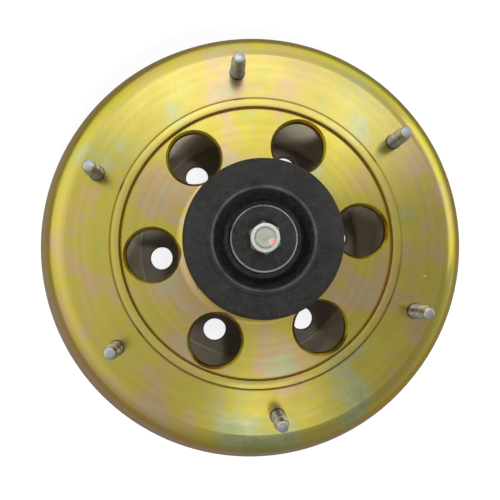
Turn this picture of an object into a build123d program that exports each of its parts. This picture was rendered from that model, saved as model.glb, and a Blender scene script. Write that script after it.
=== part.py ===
from build123d import *
import os
from math import atan, cos, degrees, radians, sin, tan

# Air-operated fan clutch, spring engaged and air released, fed with air from behind.
# Millimetres. The origin is the centre of the rear mounting face and +Z is the
# spin axis, pointing to the fan. The six access holes start on the +X axis.

# Fits
RUNNING_FIT = 0.05
SEAT_FIT = 0.03
SEAL_FIT = 0.03
FACE_GAP = 0.3

# Circles that the neighbouring parts bolt to
BOLT_COUNT = 6
BOLT_STEP = 360 / BOLT_COUNT
HALF_STEP = BOLT_STEP / 2
HUB_BOLT_CIRCLE_R = 73.6
HUB_BOLT_HOLE_R = 9.25
STUD_CIRCLE_R = 120.65
REAR_PILOT_R = 31.75
REAR_PILOT_DEPTH = 6.0

# Fan disc: one turned drum with the fan's pilot lip, flat flange and cone skirt
DISC_FACE_Z = 98.0
PLATE_T = 8.0
LIP_OUTER_R = 101.6
LIP_WIDTH = 6.5
LIP_HEIGHT = 2.0
LIP_ROUND = 0.6
ACCESS_HOLE_R = 19.0
ACCESS_CHAMFER = 0.8
STUD_TO_SKIRT_EDGE = 40.15
SKIRT_END_Z = 50.0
CONE_ANGLE = 19.0
SKIRT_WALL = 6.0
ROLL_R = 16.0
SKIRT_EDGE_ROUND = 1.2
BOSS_R = 48.5
BOSS_FRONT_HEIGHT = 17.0
BOSS_FILLET = 8.0
BOSS_REAR_FILLET = 4.0
BEARING_SHOULDER_T = 4.0
BEARING_SHOULDER_HEIGHT = 3.0
PUNCH_MARK_ANGLE = -17.3
PUNCH_MARK_R = 1.6

# Spring cap: cast cover that holds the spring on the spindle
CAP_R = 49.8
CAP_FACE_HEIGHT = 58.0
CAP_GAP = 4.0
CAP_WALL = 4.5
CAP_EDGE_ROUND = 3.0
RECESS_R = 35.4
RECESS_LEDGE_WIDTH = 2.4
RECESS_LEDGE_DEPTH = 1.2
RECESS_FLOOR_R = 27.5
RECESS_DEPTH = 11.0
INNER_DISC_R = 20.8
INNER_DISC_DROP = 1.0
INNER_DISC_T = 5.5
LABYRINTH_GAP = 0.7
LABYRINTH_LENGTH = 7.0
LABYRINTH_WALL = 5.0

# Spindle and its nut
SPINDLE_R = 14.0
SPINDLE_SEAT_R = 15.5
SPINDLE_FLANGE_R = 29.0
SPINDLE_FLANGE_T = 6.0
THREAD_R = 6.0
THREAD_SHOW = 1.5
NUT_ACROSS_FLATS = 18.0
NUT_HEIGHT = 10.0
NUT_FACE_SHARE = 0.97
NUT_CHAMFER_ANGLE = 30.0
AIR_PASSAGE_R = 3.0
AIR_CROSS_HOLE_R = 2.0
SCREW_COUNT = 4
SCREW_START_ANGLE = 45.0
SCREW_CIRCLE_R = 21.0
SCREW_R = 3.0
SCREW_HEAD_R = 6.0
SCREW_LENGTH = 12.0
SCREW_SOCKET_FLATS = 4.0
SCREW_SOCKET_DEPTH = 2.2

# Drive hub: one casting with the bolting floor, cup, air cylinder and friction drum
FLOOR_T = 12.0
CENTRE_T = 20.0
CUP_FLOOR_R = 90.0
CUP_MOUTH_R = 93.0
CUP_WALL = 8.0
CUP_MOUTH_GAP = 5.0
CUP_FLOOR_FILLET = 5.0
HUB_EDGE_ROUND = 3.0
CYLINDER_R = 38.0
CYLINDER_WALL = 7.0
CYLINDER_TOP_Z = 45.0
WEB_T = 8.0
DRUM_WALL = 10.0
DRUM_START_DEPTH = 4.0
DRUM_END_GAP = 10.0
WEB_FILLET = 4.0
RIB_COUNT = 12
RIB_T = 6.0
RIB_DEPTH = 30.0
LINING_T = 5.0
LINING_MARGIN = 1.5
LINING_SEGMENTS = 6
LINING_JOINT_WIDTH = 3.0
BOND_T = 0.05

# Release piston with its bearing sleeve, moving along the spindle
RELEASE_TRAVEL = 2.5
AIR_CHAMBER_T = 8.0
PISTON_T = 14.0
SLEEVE_SHOULDER_T = 12.0
BUSH_T = 2.0
BUSH_LENGTH = 12.0
SLEEVE_BORE_GAP = 0.6
PISTON_SEAL_T = 3.0
PISTON_SEAL_WIDTH = 4.0
SPINDLE_SEAL_T = 2.6
SPINDLE_SEAL_WIDTH = 3.0
SEAL_END_GAP = 0.2
GUIDE_PIN_COUNT = 3
GUIDE_PIN_R = 3.0
GUIDE_PIN_GRIP = 7.0
GUIDE_PIN_REACH = 18.0
GUIDE_PIN_FIT = 0.1
INLET_SEAL_R = 6.5
INLET_SEAL_T = 4.0
INLET_SEAL_DEPTH = 2.0
INLET_SEAL_SHOW = 0.1

# Two tapered roller bearings, with the large ends facing outward
BEARING_BORE_R = 20.0
BEARING_OUTER_R = 34.0
BEARING_WIDTH = 19.0
CUP_RING_WIDTH = 15.5
ROLLER_SHARE = 0.28
ROLLER_LENGTH = 13.0
ROLLER_TILT = 12.0
ROLLER_COUNT = 12
RACE_GAP = 0.04
INNER_RING_RIB = 2.0
INNER_RING_RIB_WIDTH = 2.0
CAGE_T = 0.9
CAGE_POCKET_GAP = 0.25
CAGE_MARGIN = 1.4

# Parts clamped on the sleeve, and the grease seals
TAB_WASHER_T = 1.2
TAB_WASHER_STEP = 1.0
LOCK_NUT_T = 7.5
LOCK_NUT_SLOTS = 4
LOCK_NUT_SLOT_WIDTH = 6.0
LOCK_NUT_SLOT_DEPTH = 2.5
GREASE_SEAL_T = 3.5
GREASE_SEAL_GAP = 0.3
SPRING_SEAT_R = 30.0
SPRING_SEAT_T = 2.5
SPRING_SEAT_BORE_R = 17.5

# How far the sleeve's shoulder and the lock nut reach from the bearing's bore to its outside
SLEEVE_SHOULDER_SHARE = 5 / 14
LOCK_NUT_SHARE = 8 / 14

# Engagement spring of flat wire
SPRING_MEAN_R = 25.5
SPRING_WIRE_WIDTH = 6.5
SPRING_WIRE_HEIGHT = 5.0
SPRING_TURNS = 3.5

# Fan studs, pressed in from behind the flange
STUD_R = 5.0
STUD_SHANK_R = 5.6
STUD_LENGTH = 32.0
STUD_POINT_R = 4.0
STUD_POINT_LENGTH = 7.0
STUD_CHAMFER = 0.8
STUD_HEAD_R = 8.0
STUD_HEAD_T = 3.5

# Places that follow from the sizes above
PLATE_REAR_Z = DISC_FACE_Z - PLATE_T
BOSS_FRONT_Z = DISC_FACE_Z + BOSS_FRONT_HEIGHT
CAP_FACE_Z = DISC_FACE_Z + CAP_FACE_HEIGHT
CAP_REAR_Z = BOSS_FRONT_Z + CAP_GAP
CONE_SLOPE = tan(radians(CONE_ANGLE))
CONE_COS = cos(radians(CONE_ANGLE))
SKIRT_END_R = STUD_CIRCLE_R + STUD_TO_SKIRT_EDGE
SKIRT_INNER_END_R = SKIRT_END_R - SKIRT_WALL / CONE_COS
CUP_MOUTH_Z = PLATE_REAR_Z - CUP_MOUTH_GAP
DRUM_START_Z = SKIRT_END_Z + DRUM_START_DEPTH
DRUM_END_Z = PLATE_REAR_Z - DRUM_END_GAP
PISTON_REAR_Z = CENTRE_T + AIR_CHAMBER_T
PISTON_FRONT_Z = PISTON_REAR_Z + PISTON_T
SLEEVE_SHOULDER_Z = PISTON_FRONT_Z + SLEEVE_SHOULDER_T
SHOULDER_REAR_Z = SLEEVE_SHOULDER_Z + BEARING_WIDTH
SHOULDER_FRONT_Z = SHOULDER_REAR_Z + BEARING_SHOULDER_T
BEARING_FRONT_Z = SHOULDER_FRONT_Z + BEARING_WIDTH
LOCK_NUT_Z = BEARING_FRONT_Z + TAB_WASHER_T
SLEEVE_END_Z = LOCK_NUT_Z + LOCK_NUT_T
SPRING_REAR_Z = SLEEVE_END_Z + SPRING_SEAT_T
SPRING_FRONT_Z = CAP_FACE_Z - RECESS_DEPTH - CAP_WALL
CAP_INNER_R = CAP_R - CAP_WALL
INNER_DISC_Z = CAP_FACE_Z - INNER_DISC_DROP
SPINDLE_SHOULDER_Z = INNER_DISC_Z - INNER_DISC_T
SPINDLE_END_Z = INNER_DISC_Z + NUT_HEIGHT + THREAD_SHOW
BUSH_R = SPINDLE_R + RUNNING_FIT + BUSH_T
SLEEVE_BORE_R = SPINDLE_R + SLEEVE_BORE_GAP
SPINDLE_SEAL_Z = PISTON_FRONT_Z + SPINDLE_SEAL_WIDTH
PISTON_SEAL_Z = PISTON_REAR_Z + (PISTON_T - PISTON_SEAL_WIDTH) / 2
BEARING_HEIGHT = BEARING_OUTER_R - BEARING_BORE_R
SLEEVE_SHOULDER_R = BEARING_BORE_R + BEARING_HEIGHT * SLEEVE_SHOULDER_SHARE
LOCK_NUT_R = BEARING_BORE_R + BEARING_HEIGHT * LOCK_NUT_SHARE
TAB_WASHER_R = LOCK_NUT_R - TAB_WASHER_STEP
GUIDE_PIN_CIRCLE_R = (SLEEVE_SHOULDER_R + CYLINDER_R - PISTON_SEAL_T) / 2
ROLLER_PITCH_R = (BEARING_BORE_R + BEARING_OUTER_R) / 2
ROLLER_R = BEARING_HEIGHT * ROLLER_SHARE
ROLLER_TAPER = degrees(atan(ROLLER_R * sin(radians(ROLLER_TILT)) / ROLLER_PITCH_R))
APEX_DISTANCE = ROLLER_PITCH_R / tan(radians(ROLLER_TILT)) - BEARING_WIDTH / 2


def turned(outline, rounds=()):
    """A solid of revolution about Z from (radius, height) corners, some of them rounded."""
    with BuildPart() as part:
        with BuildSketch(Plane.XZ) as section:
            with BuildLine():
                Polyline(*outline, close=True)
            make_face()
            for radius, corner in rounds:
                fillet(section.vertices().sort_by_distance(corner)[0], radius)
        revolve(axis=Axis.Z)
    return part.part


def ring(inner_r, outer_r, low_z, high_z):
    """A plain ring with square edges."""
    return turned([(inner_r, low_z), (outer_r, low_z), (outer_r, high_z), (inner_r, high_z)])


def around(solid, count, circle_r, start_angle=0.0):
    """Copies of a solid that stands on the Z axis, spaced evenly on a circle."""
    places = PolarLocations(circle_r, count, start_angle)
    return [place * solid for place in places]


def rod(radius, low_z, high_z):
    """A round bar along Z."""
    return Pos(0, 0, (low_z + high_z) / 2) * Cylinder(radius, high_z - low_z)


def hexagon_corner_r(across_flats):
    """Radius of a hexagon's corners from its width over two flat sides."""
    return across_flats / 2 / cos(radians(30))


def skirt_inner_r(height):
    """Radius of the cone surface inside the skirt at a height."""
    return SKIRT_INNER_END_R - (height - SKIRT_END_Z) * CONE_SLOPE


def fan_disc():
    """The plated drum that the fan bolts to, with its bearing boss and friction skirt."""
    flange_corner_r = SKIRT_END_R - (DISC_FACE_Z - SKIRT_END_Z) * CONE_SLOPE
    plate_corner_r = skirt_inner_r(PLATE_REAR_Z)
    lip_inner_r = LIP_OUTER_R - LIP_WIDTH
    lip_z = DISC_FACE_Z + LIP_HEIGHT
    labyrinth_r = CAP_INNER_R - LABYRINTH_GAP
    labyrinth_z = BOSS_FRONT_Z + LABYRINTH_LENGTH
    mouth_r = labyrinth_r - LABYRINTH_WALL
    mouth_z = BEARING_FRONT_Z + GREASE_SEAL_T
    boss_rear_z = SLEEVE_SHOULDER_Z - GREASE_SEAL_T
    shoulder_r = BEARING_OUTER_R - BEARING_SHOULDER_HEIGHT
    outline = [
        (BEARING_OUTER_R, boss_rear_z),
        (BOSS_R, boss_rear_z),
        (BOSS_R, PLATE_REAR_Z),
        (plate_corner_r, PLATE_REAR_Z),
        (SKIRT_INNER_END_R, SKIRT_END_Z),
        (SKIRT_END_R, SKIRT_END_Z),
        (flange_corner_r, DISC_FACE_Z),
        (LIP_OUTER_R, DISC_FACE_Z),
        (LIP_OUTER_R, lip_z),
        (lip_inner_r, lip_z),
        (lip_inner_r, DISC_FACE_Z),
        (BOSS_R, DISC_FACE_Z),
        (BOSS_R, BOSS_FRONT_Z),
        (labyrinth_r, BOSS_FRONT_Z),
        (labyrinth_r, labyrinth_z),
        (mouth_r, labyrinth_z),
        (mouth_r, mouth_z),
        (BEARING_OUTER_R, mouth_z),
        (BEARING_OUTER_R, SHOULDER_FRONT_Z),
        (shoulder_r, SHOULDER_FRONT_Z),
        (shoulder_r, SHOULDER_REAR_Z),
        (BEARING_OUTER_R, SHOULDER_REAR_Z),
    ]
    rounds = [
        (BOSS_REAR_FILLET, (BOSS_R, PLATE_REAR_Z)),
        (ROLL_R - SKIRT_WALL, (plate_corner_r, PLATE_REAR_Z)),
        (SKIRT_EDGE_ROUND, (SKIRT_END_R, SKIRT_END_Z)),
        (ROLL_R, (flange_corner_r, DISC_FACE_Z)),
        (LIP_ROUND, (LIP_OUTER_R, lip_z)),
        (LIP_ROUND, (lip_inner_r, lip_z)),
        (BOSS_FILLET, (BOSS_R, DISC_FACE_Z)),
    ]
    disc = turned(outline, rounds)
    access = rod(ACCESS_HOLE_R, PLATE_REAR_Z - PLATE_T, lip_z + PLATE_T)
    countersink = Pos(0, 0, DISC_FACE_Z) * Cone(
        ACCESS_HOLE_R, ACCESS_HOLE_R + 2 * ACCESS_CHAMFER, 2 * ACCESS_CHAMFER
    )
    for hole in around(access + countersink, BOLT_COUNT, HUB_BOLT_CIRCLE_R):
        disc -= hole
    stud_hole = rod(STUD_SHANK_R + SEAT_FIT, PLATE_REAR_Z - PLATE_T, lip_z)
    for hole in around(stud_hole, BOLT_COUNT, STUD_CIRCLE_R, HALF_STEP):
        disc -= hole
    punch = Cone(0, 2 * PUNCH_MARK_R, 2 * PUNCH_MARK_R)
    mark = Rot(0, 0, PUNCH_MARK_ANGLE) * Pos(STUD_CIRCLE_R, 0, DISC_FACE_Z) * punch
    return disc - mark


def fan_studs():
    """Six headed studs that stand out of the flange, each with a plain leading point."""
    thread_end_z = DISC_FACE_Z + STUD_LENGTH - STUD_POINT_LENGTH
    tip_z = DISC_FACE_Z + STUD_LENGTH
    head_z = PLATE_REAR_Z - STUD_HEAD_T
    step = STUD_R - STUD_POINT_R
    outline = [
        (0, head_z),
        (STUD_HEAD_R, head_z),
        (STUD_HEAD_R, PLATE_REAR_Z),
        (STUD_SHANK_R, PLATE_REAR_Z),
        (STUD_SHANK_R, DISC_FACE_Z),
        (STUD_R, DISC_FACE_Z),
        (STUD_R, thread_end_z - step),
        (STUD_POINT_R, thread_end_z),
        (STUD_POINT_R, tip_z - STUD_CHAMFER),
        (STUD_POINT_R - STUD_CHAMFER, tip_z),
        (0, tip_z),
    ]
    return around(turned(outline), BOLT_COUNT, STUD_CIRCLE_R, HALF_STEP)


def spring_cap():
    """The black cover clamped on the spindle's end, with a deep round recess."""
    ledge_z = CAP_FACE_Z - RECESS_LEDGE_DEPTH
    ledge_r = RECESS_R - RECESS_LEDGE_WIDTH
    floor_z = CAP_FACE_Z - RECESS_DEPTH
    roof_z = CAP_FACE_Z - CAP_WALL
    socket_r = INNER_DISC_R - CAP_WALL
    outline = [
        (CAP_INNER_R, CAP_REAR_Z),
        (CAP_R, CAP_REAR_Z),
        (CAP_R, CAP_FACE_Z),
        (RECESS_R, CAP_FACE_Z),
        (RECESS_R, ledge_z),
        (ledge_r, ledge_z),
        (RECESS_FLOOR_R, floor_z),
        (INNER_DISC_R, floor_z),
        (INNER_DISC_R, INNER_DISC_Z),
        (THREAD_R + SEAT_FIT, INNER_DISC_Z),
        (THREAD_R + SEAT_FIT, SPINDLE_SHOULDER_Z),
        (socket_r, SPINDLE_SHOULDER_Z),
        (socket_r, SPRING_FRONT_Z),
        (RECESS_FLOOR_R + CAP_WALL, SPRING_FRONT_Z),
        (RECESS_R + CAP_WALL / 2, roof_z),
        (CAP_INNER_R, roof_z),
    ]
    rounds = [
        (CAP_EDGE_ROUND, (CAP_R, CAP_FACE_Z)),
        (RECESS_LEDGE_WIDTH / 2, (ledge_r, ledge_z)),
        (RECESS_LEDGE_WIDTH, (RECESS_FLOOR_R, floor_z)),
        (RECESS_LEDGE_WIDTH / 2, (INNER_DISC_R, floor_z)),
        (RECESS_LEDGE_DEPTH / 2, (INNER_DISC_R, INNER_DISC_Z)),
    ]
    return turned(outline, rounds)


def spindle_nut():
    """Hexagon nut with a chamfered front face."""
    corner_r = hexagon_corner_r(NUT_ACROSS_FLATS)
    face_r = NUT_ACROSS_FLATS / 2 * NUT_FACE_SHARE
    chamfer_drop = (corner_r - face_r) * tan(radians(NUT_CHAMFER_ANGLE))
    blank = extrude(RegularPolygon(corner_r, 6), NUT_HEIGHT)
    crown = turned([
        (0, 0),
        (corner_r, 0),
        (corner_r, NUT_HEIGHT - chamfer_drop),
        (face_r, NUT_HEIGHT),
        (0, NUT_HEIGHT),
    ])
    nut = (blank & crown) - rod(THREAD_R + SEAT_FIT, 0, NUT_HEIGHT)
    return Pos(0, 0, INNER_DISC_Z) * nut


def spindle():
    """Fixed steel spindle with a rear flange, an air passage and a threaded front end."""
    flange_z = REAR_PILOT_DEPTH + SPINDLE_FLANGE_T
    cross_z = CENTRE_T + AIR_CHAMBER_T / 2
    outline = [
        (0, REAR_PILOT_DEPTH),
        (SPINDLE_FLANGE_R, REAR_PILOT_DEPTH),
        (SPINDLE_FLANGE_R, flange_z),
        (SPINDLE_SEAT_R, flange_z),
        (SPINDLE_SEAT_R, CENTRE_T),
        (SPINDLE_R, CENTRE_T),
        (SPINDLE_R, SPINDLE_SHOULDER_Z),
        (THREAD_R, SPINDLE_SHOULDER_Z),
        (THREAD_R, SPINDLE_END_Z - STUD_CHAMFER),
        (THREAD_R - STUD_CHAMFER, SPINDLE_END_Z),
        (0, SPINDLE_END_Z),
    ]
    bar = turned(outline)
    passage = rod(AIR_PASSAGE_R, REAR_PILOT_DEPTH, cross_z + AIR_PASSAGE_R)
    cross_hole = Rot(0, 90, 0) * Cylinder(AIR_CROSS_HOLE_R, 2 * SPINDLE_FLANGE_R)
    for angle in (0, 90):
        passage += Pos(0, 0, cross_z) * Rot(0, 0, angle) * cross_hole
    bar -= passage
    groove_end_r = INLET_SEAL_R + INLET_SEAL_T
    groove_z = REAR_PILOT_DEPTH + INLET_SEAL_DEPTH
    bar -= ring(INLET_SEAL_R, groove_end_r, REAR_PILOT_DEPTH, groove_z)
    for hole in screw_holes():
        bar -= hole
    return bar


def spindle_screw(growth=0.0):
    """One countersunk screw, flush with the rear of the spindle flange."""
    head_drop = SCREW_HEAD_R - SCREW_R
    head_z = REAR_PILOT_DEPTH
    outline = [
        (0, head_z),
        (SCREW_HEAD_R + growth, head_z),
        (SCREW_R + growth, head_z + head_drop),
        (SCREW_R + growth, head_z + SCREW_LENGTH),
        (0, head_z + SCREW_LENGTH),
    ]
    return turned(outline)


def screw_holes():
    """Countersunk holes for the spindle screws, in the flange and the hub alike."""
    return around(spindle_screw(SEAT_FIT), SCREW_COUNT, SCREW_CIRCLE_R, SCREW_START_ANGLE)


def spindle_screws():
    """Socket screws that hold the spindle flange to the hub."""
    corner_r = hexagon_corner_r(SCREW_SOCKET_FLATS)
    socket = extrude(RegularPolygon(corner_r, 6), SCREW_SOCKET_DEPTH)
    screw = spindle_screw() - Pos(0, 0, REAR_PILOT_DEPTH) * socket
    return around(screw, SCREW_COUNT, SCREW_CIRCLE_R, SCREW_START_ANGLE)


def inlet_seal():
    """Square ring that seals the air feed at the spindle's rear face."""
    low_z = REAR_PILOT_DEPTH - INLET_SEAL_SHOW
    high_z = REAR_PILOT_DEPTH + INLET_SEAL_DEPTH
    inner_r = INLET_SEAL_R + SEAL_END_GAP
    return ring(inner_r, INLET_SEAL_R + INLET_SEAL_T - SEAL_END_GAP, low_z, high_z)


def drum_seat_r(height):
    """Radius of the cone that the lining is bonded to."""
    return skirt_inner_r(height) - (FACE_GAP + LINING_T + BOND_T) / CONE_COS


def drive_hub():
    """Cast hub: bolting floor, deep cup, air cylinder, web and friction drum."""
    drum_offset = DRUM_WALL / CONE_COS
    web_top_z = DRUM_START_Z + WEB_T
    cup_outer_r = CUP_FLOOR_R + CUP_WALL
    mouth_outer_r = CUP_MOUTH_R + CUP_WALL
    cup_slope = (CUP_MOUTH_R - CUP_FLOOR_R) / (CUP_MOUTH_Z - FLOOR_T)
    flange_seat_z = REAR_PILOT_DEPTH + SPINDLE_FLANGE_T
    flange_seat_r = SPINDLE_FLANGE_R + SEAT_FIT
    bore_r = SPINDLE_SEAT_R + SEAT_FIT
    cylinder_outer_r = CYLINDER_R + CYLINDER_WALL
    web_low_r = cup_outer_r + cup_slope * (DRUM_START_Z - FLOOR_T)
    web_high_r = cup_outer_r + cup_slope * (web_top_z - FLOOR_T)
    outline = [
        (REAR_PILOT_R, 0),
        (cup_outer_r, 0),
        (cup_outer_r, FLOOR_T),
        (web_low_r, DRUM_START_Z),
        (drum_seat_r(DRUM_START_Z), DRUM_START_Z),
        (drum_seat_r(DRUM_END_Z), DRUM_END_Z),
        (drum_seat_r(DRUM_END_Z) - drum_offset, DRUM_END_Z),
        (drum_seat_r(web_top_z) - drum_offset, web_top_z),
        (web_high_r, web_top_z),
        (mouth_outer_r, CUP_MOUTH_Z),
        (CUP_MOUTH_R, CUP_MOUTH_Z),
        (CUP_FLOOR_R, FLOOR_T),
        (cylinder_outer_r, FLOOR_T),
        (cylinder_outer_r, CYLINDER_TOP_Z),
        (CYLINDER_R, CYLINDER_TOP_Z),
        (CYLINDER_R, CENTRE_T),
        (bore_r, CENTRE_T),
        (bore_r, flange_seat_z),
        (flange_seat_r, flange_seat_z),
        (flange_seat_r, REAR_PILOT_DEPTH),
        (REAR_PILOT_R, REAR_PILOT_DEPTH),
    ]
    rounds = [
        (HUB_EDGE_ROUND, (cup_outer_r, 0)),
        (WEB_FILLET, (web_low_r, DRUM_START_Z)),
        (CUP_FLOOR_FILLET, (CUP_FLOOR_R, FLOOR_T)),
        (CUP_FLOOR_FILLET, (cylinder_outer_r, FLOOR_T)),
    ]
    hub = turned(outline, rounds)
    rib_start_r = cup_outer_r - CUP_WALL / 2
    rib_end_r = drum_seat_r(DRUM_START_Z) - DRUM_WALL
    rib_top_z = DRUM_START_Z + WEB_T / 2
    with BuildPart() as rib:
        with BuildSketch(Plane.XZ):
            with BuildLine():
                Polyline(
                    (rib_start_r, rib_top_z),
                    (rib_end_r, rib_top_z),
                    (rib_end_r, DRUM_START_Z),
                    (rib_start_r, DRUM_START_Z - RIB_DEPTH),
                    close=True,
                )
            make_face()
        extrude(amount=RIB_T / 2, both=True)
    for step in range(RIB_COUNT):
        hub += Rot(0, 0, (step + 0.5) * 360 / RIB_COUNT) * rib.part
    for hole in around(rod(HUB_BOLT_HOLE_R, 0, FLOOR_T), BOLT_COUNT, HUB_BOLT_CIRCLE_R):
        hub -= hole
    for hole in screw_holes():
        hub -= hole
    pin_hole = rod(GUIDE_PIN_R + SEAT_FIT, CENTRE_T - GUIDE_PIN_GRIP, CENTRE_T)
    for hole in around(pin_hole, GUIDE_PIN_COUNT, GUIDE_PIN_CIRCLE_R):
        hub -= hole
    return hub


def friction_lining():
    """Curved segments bonded round the drum, with a slot between neighbours."""
    low_z = DRUM_START_Z + LINING_MARGIN
    high_z = DRUM_END_Z - LINING_MARGIN
    inner = BOND_T / CONE_COS
    outer = FACE_GAP / CONE_COS
    band = turned([
        (drum_seat_r(low_z) + inner, low_z),
        (skirt_inner_r(low_z) - outer, low_z),
        (skirt_inner_r(high_z) - outer, high_z),
        (drum_seat_r(high_z) + inner, high_z),
    ])
    slot_length = 2 * SKIRT_END_R
    for step in range(LINING_SEGMENTS // 2):
        slot = Box(slot_length, LINING_JOINT_WIDTH, slot_length)
        band -= Rot(0, 0, step * 360 / LINING_SEGMENTS) * slot
    return band.solids()


def release_piston():
    """Air piston and bearing sleeve in one turned piece, with blind guide holes."""
    piston_r = CYLINDER_R - RUNNING_FIT
    groove_r = piston_r - PISTON_SEAL_T
    sleeve_r = BEARING_BORE_R - SEAT_FIT
    bush_seat_r = BUSH_R + SEAT_FIT
    seal_groove_r = SPINDLE_R + SPINDLE_SEAL_T + SEAL_END_GAP
    seal_low_z = SPINDLE_SEAL_Z
    seal_high_z = SPINDLE_SEAL_Z + SPINDLE_SEAL_WIDTH
    outline = [
        (bush_seat_r, PISTON_REAR_Z),
        (piston_r, PISTON_REAR_Z),
        (piston_r, PISTON_SEAL_Z),
        (groove_r, PISTON_SEAL_Z),
        (groove_r, PISTON_SEAL_Z + PISTON_SEAL_WIDTH),
        (piston_r, PISTON_SEAL_Z + PISTON_SEAL_WIDTH),
        (piston_r, PISTON_FRONT_Z),
        (SLEEVE_SHOULDER_R, PISTON_FRONT_Z),
        (SLEEVE_SHOULDER_R, SLEEVE_SHOULDER_Z),
        (sleeve_r, SLEEVE_SHOULDER_Z),
        (sleeve_r, SLEEVE_END_Z),
        (bush_seat_r, SLEEVE_END_Z),
        (bush_seat_r, SLEEVE_END_Z - BUSH_LENGTH),
        (SLEEVE_BORE_R, SLEEVE_END_Z - BUSH_LENGTH),
        (SLEEVE_BORE_R, seal_high_z),
        (seal_groove_r, seal_high_z),
        (seal_groove_r, seal_low_z),
        (SLEEVE_BORE_R, seal_low_z),
        (SLEEVE_BORE_R, PISTON_REAR_Z + BUSH_LENGTH),
        (bush_seat_r, PISTON_REAR_Z + BUSH_LENGTH),
    ]
    piston = turned(outline)
    hole_depth = CENTRE_T + GUIDE_PIN_REACH - PISTON_REAR_Z + RELEASE_TRAVEL
    pin_hole = rod(GUIDE_PIN_R + GUIDE_PIN_FIT, PISTON_REAR_Z, PISTON_REAR_Z + hole_depth)
    for hole in around(pin_hole, GUIDE_PIN_COUNT, GUIDE_PIN_CIRCLE_R):
        piston -= hole
    return piston


def guide_pins():
    """Dowels that let the piston slide and keep it from turning."""
    pin = rod(GUIDE_PIN_R, CENTRE_T - GUIDE_PIN_GRIP, CENTRE_T + GUIDE_PIN_REACH)
    return around(pin, GUIDE_PIN_COUNT, GUIDE_PIN_CIRCLE_R)


def sliding_bushes():
    """Bronze bushes at both ends of the sleeve's bore."""
    bore_r = SPINDLE_R + RUNNING_FIT
    rear = ring(bore_r, BUSH_R, PISTON_REAR_Z, PISTON_REAR_Z + BUSH_LENGTH)
    front = ring(bore_r, BUSH_R, SLEEVE_END_Z - BUSH_LENGTH, SLEEVE_END_Z)
    return [rear, front]


def piston_seal():
    """Ring in the piston's outer groove."""
    outer_r = CYLINDER_R - SEAL_FIT
    low_z = PISTON_SEAL_Z + SEAL_END_GAP
    high_z = PISTON_SEAL_Z + PISTON_SEAL_WIDTH - SEAL_END_GAP
    return ring(outer_r - PISTON_SEAL_T + SEAL_END_GAP, outer_r, low_z, high_z)


def spindle_seal():
    """Ring in the sleeve's bore, against the spindle."""
    inner_r = SPINDLE_R + SEAL_FIT
    low_z = SPINDLE_SEAL_Z + SEAL_END_GAP
    high_z = SPINDLE_SEAL_Z + SPINDLE_SEAL_WIDTH - SEAL_END_GAP
    return ring(inner_r, SPINDLE_R + SPINDLE_SEAL_T, low_z, high_z)


def race_r(height, tilt):
    """Radius of a cone through the bearing's apex, counted from the small end."""
    return (height + APEX_DISTANCE) * tan(radians(tilt))


def bearing_pair(piece):
    """The front bearing's piece and its mirror image at the rear."""
    front = Pos(0, 0, SHOULDER_FRONT_Z) * piece
    middle_z = (SHOULDER_REAR_Z + SHOULDER_FRONT_Z) / 2
    rear = mirror(front, about=Plane.XY.offset(middle_z))
    return front.solids() + rear.solids()


def inner_rings():
    """Cone rings with a rib at each end of the raceway."""
    tilt = ROLLER_TILT - ROLLER_TAPER
    small_z = INNER_RING_RIB_WIDTH
    large_z = BEARING_WIDTH - INNER_RING_RIB_WIDTH
    small_r = race_r(small_z, tilt) - RACE_GAP
    large_r = race_r(large_z, tilt) - RACE_GAP
    cone = turned([
        (BEARING_BORE_R, 0),
        (small_r + INNER_RING_RIB / 2, 0),
        (small_r + INNER_RING_RIB / 2, small_z),
        (small_r, small_z),
        (large_r, large_z),
        (large_r + INNER_RING_RIB, large_z),
        (large_r + INNER_RING_RIB, BEARING_WIDTH),
        (BEARING_BORE_R, BEARING_WIDTH),
    ])
    return bearing_pair(cone)


def outer_rings():
    """Cup rings, each with its thick end against the shoulder in the boss."""
    tilt = ROLLER_TILT + ROLLER_TAPER
    outer_r = BEARING_OUTER_R - SEAT_FIT
    cup = turned([
        (race_r(0, tilt) + RACE_GAP, 0),
        (outer_r, 0),
        (outer_r, CUP_RING_WIDTH),
        (race_r(CUP_RING_WIDTH, tilt) + RACE_GAP, CUP_RING_WIDTH),
    ])
    return bearing_pair(cup)


def roller_place(angle):
    """Where a roller's middle sits, with its axis leaning out to the large end."""
    middle = Pos(ROLLER_PITCH_R, 0, BEARING_WIDTH / 2)
    return Rot(0, 0, angle) * middle * Rot(0, ROLLER_TILT, 0)


def rollers():
    """Tapered rollers of both bearings."""
    change = ROLLER_LENGTH / 2 * tan(radians(ROLLER_TAPER))
    roller = Cone(ROLLER_R - change, ROLLER_R + change, ROLLER_LENGTH)
    row = []
    for step in range(ROLLER_COUNT):
        row.append(roller_place(step * 360 / ROLLER_COUNT) * roller)
    return bearing_pair(Compound(children=row))


def roller_cages():
    """Thin cone-shaped cages with a window for each roller."""
    half_t = CAGE_T / 2 / cos(radians(ROLLER_TILT))
    low_z = CAGE_MARGIN
    high_z = BEARING_WIDTH - CAGE_MARGIN
    lift = INNER_RING_RIB / 2
    low_r = race_r(low_z, ROLLER_TILT) + lift
    high_r = race_r(high_z, ROLLER_TILT) + lift
    cage = turned([
        (low_r - half_t, low_z),
        (low_r + half_t, low_z),
        (high_r + half_t, high_z),
        (high_r - half_t, high_z),
    ])
    pocket_width = 2 * (ROLLER_R + CAGE_POCKET_GAP)
    pocket = Box(BEARING_OUTER_R / 2, pocket_width, ROLLER_LENGTH + 2 * CAGE_POCKET_GAP)
    for step in range(ROLLER_COUNT):
        cage -= roller_place(step * 360 / ROLLER_COUNT) * pocket
    return bearing_pair(cage)


def tab_washer():
    """Washer under the lock nut."""
    bore_r = BEARING_BORE_R
    return ring(bore_r, TAB_WASHER_R, BEARING_FRONT_Z, BEARING_FRONT_Z + TAB_WASHER_T)


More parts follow.
